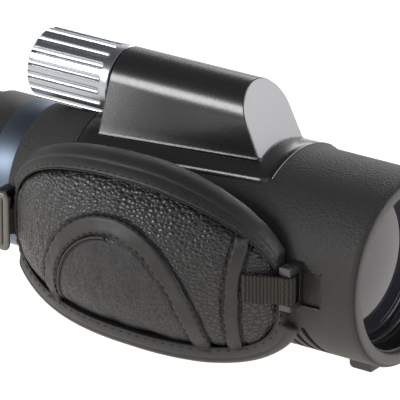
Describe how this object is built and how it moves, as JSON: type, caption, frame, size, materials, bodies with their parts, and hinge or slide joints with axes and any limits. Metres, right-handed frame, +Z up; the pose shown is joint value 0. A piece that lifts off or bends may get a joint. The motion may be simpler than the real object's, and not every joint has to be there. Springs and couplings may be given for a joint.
{
  "type": "spotting scope",
  "caption": "Compact straight-view spotting scope with a top focus knob and tunnel, twist-up eyecup, tripod foot and a padded side hand strap.",
  "frame": {"origin": "centre of the tripod socket's mouth on the flat underside of the foot", "axes": "+X along the optical axis towards the objective, +Z up, the hand pad on the -Y side"},
  "size_m": [0.1775, 0.085, 0.0855],
  "materials": {
    "armour_rubber": "matte moulded rubber, fine texture",
    "tunnel_paint": "satin black paint",
    "face_plate": "fine satin anodised",
    "ring_anodised": "smooth blue-grey anodised",
    "knob_aluminium": "bright turned and fluted",
    "inner_black": "flat black",
    "casting": "as machined, hidden",
    "hood_black": "satin black anodised",
    "coated_glass": "violet anti-reflection coating",
    "prism_glass": "polished",
    "brass": "machined",
    "steel": "satin",
    "seal_rubber": "smooth",
    "black_plastic": "moulded satin",
    "slider_paint": "satin warm grey",
    "leather": "pebble grain black",
    "binding": "smooth folded tape",
    "lining": "soft knit",
    "foam": "closed-cell foam",
    "webbing": "ribbed woven tape"
  },
  "bodies": {
    "barrel": {"main_tube": "casting", "front_armour": "armour_rubber", "rear_housing": "casting", "rear_armour": "armour_rubber", "trim_ring": "ring_anodised", "saddle_base": "tunnel_paint", "focus_tunnel": "tunnel_paint", "tunnel_cap": "face_plate", "tunnel_screws": "steel", "tripod_foot": "black_plastic", "tripod_insert": "brass", "objective_hood": "hood_black", "objective_ring": "inner_black", "objective_seal": "seal_rubber", "objective_front_lens": "coated_glass", "objective_spacer": "inner_black", "objective_rear_lens": "coated_glass", "objective_cell": "inner_black", "guide_rods": "steel", "prism_cage": "inner_black", "compensating_prism": "prism_glass", "roof_prism": "prism_glass", "prism_clamps": "steel", "prism_screws": "steel", "eyepiece_housing": "black_plastic", "eyepiece_barrel": "inner_black", "field_stop": "inner_black", "field_lens": "coated_glass", "eyepiece_spacer": "inner_black", "eye_lens": "coated_glass", "eyepiece_ring": "inner_black", "knob_bushing": "brass", "shaft_seal": "seal_rubber", "front_strap_lug": "black_plastic", "front_strap_bar": "steel", "rear_strap_lug": "black_plastic", "rear_strap_bar": "steel", "front_webbing": "webbing", "rear_webbing": "webbing"},
    "focus_knob": {"focus_knob": "knob_aluminium", "focus_screw": "steel", "knob_cap_screw": "steel"},
    "focus_carriage": {"focus_nut": "brass", "drive_arm": "steel", "focus_lens_cell": "inner_black", "focus_lens": "coated_glass"},
    "eyecup_ring": {"eyecup_cam_ring": "black_plastic"},
    "eyecup": {"eyecup_sleeve": "black_plastic", "eyecup_rubber": "seal_rubber"},
    "hand_pad": {"pad_face": "leather", "pad_core": "foam", "pad_lining": "lining", "pad_binding": "binding", "arch_trim": "binding", "front_trim": "binding"},
    "strap_slider": {"strap_slider": "slider_paint"}
  },
  "joints": [
    {"name": "focus_turn", "type": "hinge", "parent": "barrel", "child": "focus_knob", "pos_m": [-0.1, 0, 0.0737], "axis": [1, 0, 0], "range_deg": [-270, 270]},
    {"name": "focus_slide", "type": "slide", "parent": "barrel", "child": "focus_carriage", "axis": [1, 0, 0], "range_m": [-0.003, 0.003]},
    {"name": "eyecup_turn", "type": "hinge", "parent": "barrel", "child": "eyecup_ring", "pos_m": [-0.15, 0, 0.0348], "axis": [-1, 0, 0], "range_deg": [0, 120]},
    {"name": "eyecup_lift", "type": "slide", "parent": "eyecup_ring", "child": "eyecup", "axis": [-1, 0, 0], "range_m": [0, 0.0071]},
    {"name": "pad_lift", "type": "slide", "parent": "barrel", "child": "hand_pad", "axis": [0, -1, 0], "range_m": [0, 0.006], "deforming": ["front_webbing", "rear_webbing"]},
    {"name": "slider_shift", "type": "slide", "parent": "barrel", "child": "strap_slider", "axis": [0.9945, 0.1045, 0], "range_m": [-0.0003, 0.0003]}
  ],
  "couplings": [
    {"joint": "focus_turn", "follows": "focus_slide", "rad_per_m": 1570.7},
    {"joint": "eyecup_lift", "follows": "eyecup_turn", "m_per_rad": 0.0033423}
  ]
}
